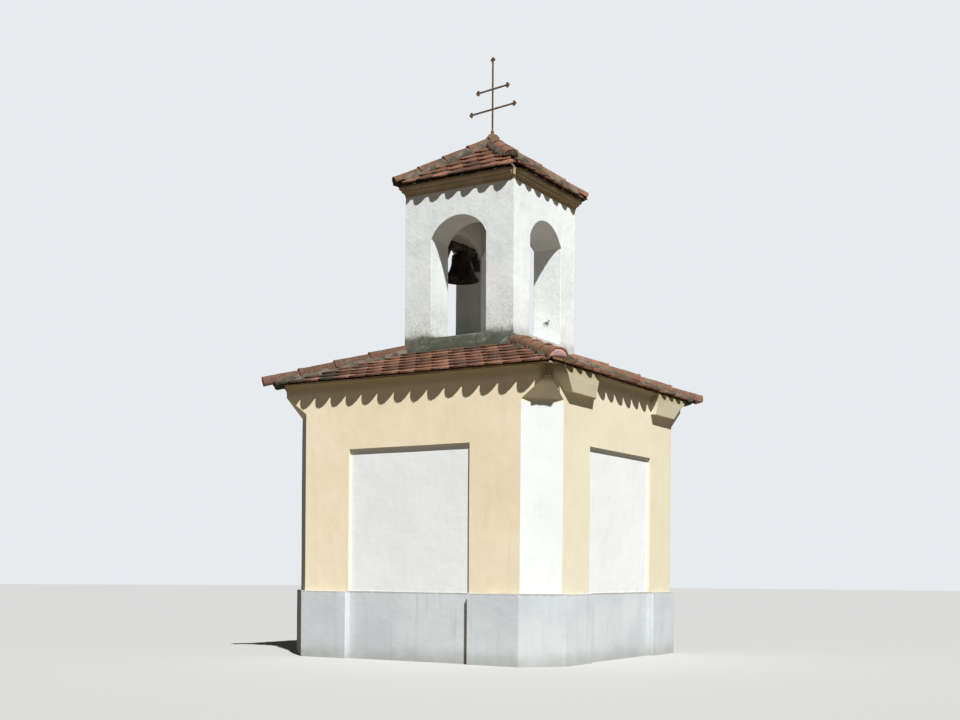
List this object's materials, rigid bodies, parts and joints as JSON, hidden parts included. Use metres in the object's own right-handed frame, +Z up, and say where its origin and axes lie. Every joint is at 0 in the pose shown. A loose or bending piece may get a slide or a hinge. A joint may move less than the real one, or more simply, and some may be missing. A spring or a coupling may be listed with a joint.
{
  "type": "bell tower",
  "caption": "Small square masonry bell tower: panelled body with chamfered corners, tiled skirt roof, open arched belfry with a bell, tiled cap and iron cross.",
  "frame": {"origin": "middle of the footprint at the lowest ground level", "axes": "+Z up, the front face (left face in the picture) looks along -Y, the right face along +X"},
  "size_m": [3.249, 3.249, 5.862],
  "materials": {
    "stone_plinth": "rough cement render, weathered and cracked",
    "ochre_plaster": "matt pale ochre lime plaster",
    "white_plaster": "matt white lime plaster, greyed and stained low down",
    "clay_tile": "weathered fired clay with grey lichen",
    "wrought_iron": "rusty wrought iron",
    "oak": "weathered dark oak",
    "bronze": "dark patinated bronze"
  },
  "bodies": {
    "tower": {"plinth_front": "stone_plinth", "plinth_right": "stone_plinth", "plinth_back": "stone_plinth", "plinth_left": "stone_plinth", "wall_front": "ochre_plaster", "wall_right": "ochre_plaster", "wall_back": "ochre_plaster", "wall_left": "ochre_plaster", "panel_front": "white_plaster", "panel_right": "white_plaster", "panel_back": "white_plaster", "panel_left": "white_plaster", "corner_front_right": "white_plaster", "corner_back_right": "white_plaster", "corner_back_left": "white_plaster", "corner_front_left": "white_plaster", "capital_front_right": "ochre_plaster", "capital_back_right": "ochre_plaster", "capital_back_left": "ochre_plaster", "capital_front_left": "ochre_plaster", "ceiling_slab": "white_plaster", "skirt_roof_front": "clay_tile", "skirt_roof_right": "clay_tile", "skirt_roof_back": "clay_tile", "skirt_roof_left": "clay_tile", "skirt_hip_tiles": "clay_tile", "belfry_base": "white_plaster", "belfry_pier_front_right": "white_plaster", "belfry_pier_back_right": "white_plaster", "belfry_pier_back_left": "white_plaster", "belfry_pier_front_left": "white_plaster", "belfry_arch_front": "white_plaster", "belfry_arch_right": "white_plaster", "belfry_arch_back": "white_plaster", "belfry_arch_left": "white_plaster", "belfry_cornice": "ochre_plaster", "cap_roof": "clay_tile", "cap_hip_tiles": "clay_tile", "cross": "wrought_iron", "bell_bearing_front": "wrought_iron", "bell_bearing_back": "wrought_iron"},
    "swinging_bell": {"headstock": "oak", "gudgeons": "wrought_iron", "bell": "bronze", "clapper": "wrought_iron"}
  },
  "joints": [
    {"name": "bell_swing", "type": "hinge", "parent": "tower", "child": "swinging_bell", "pos_m": [-0.352, 0, 4.006], "axis": [0, 1, 0], "range_deg": [-50, 50]}
  ]
}
